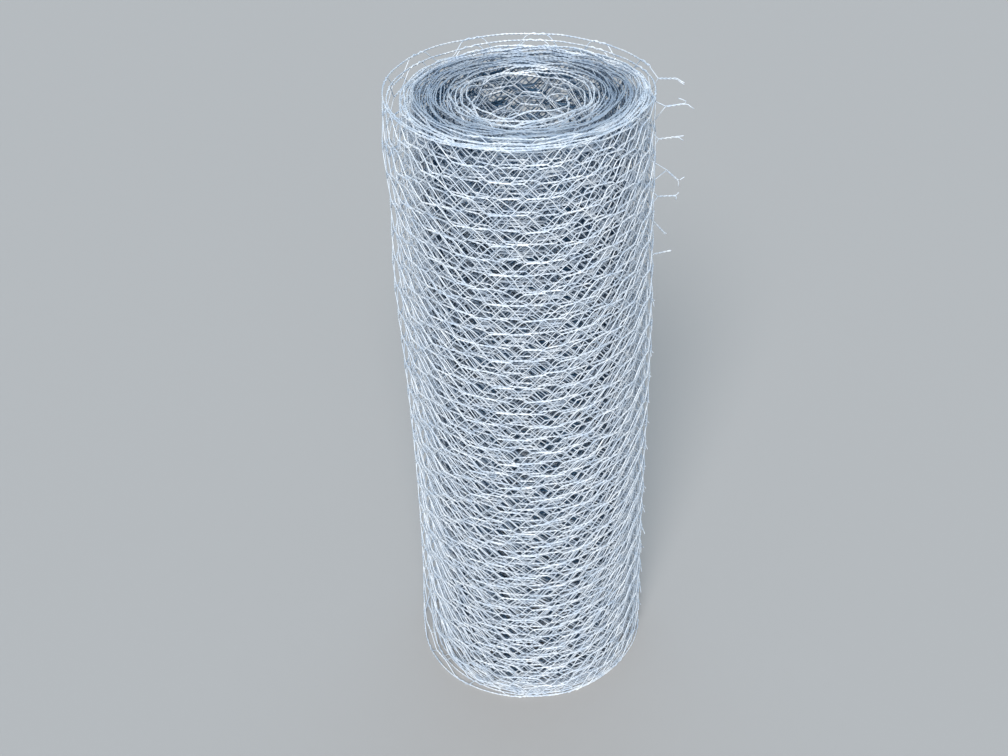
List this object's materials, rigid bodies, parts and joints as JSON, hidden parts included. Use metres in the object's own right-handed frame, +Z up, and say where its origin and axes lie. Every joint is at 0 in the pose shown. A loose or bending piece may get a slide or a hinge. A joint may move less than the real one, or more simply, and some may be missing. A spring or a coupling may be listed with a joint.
{
  "type": "roll of chicken wire",
  "caption": "Upright roll of galvanised hexagonal wire netting with an open bore, loose outer turns and a cut end of twisted wires.",
  "frame": {"origin": "centre of the roll's bore on the floor that it stands on", "axes": "+Z up along the bore, +X towards the cut end of the netting"},
  "size_m": [0.2589, 0.2239, 0.6096],
  "materials": {
    "galvanised_wire": "hot-dip galvanised wire, pale bluish grey, satin, with a few faint rust marks"
  },
  "bodies": {
    "root": {"netting_roll": "galvanised_wire"}
  },
  "joints": []
}
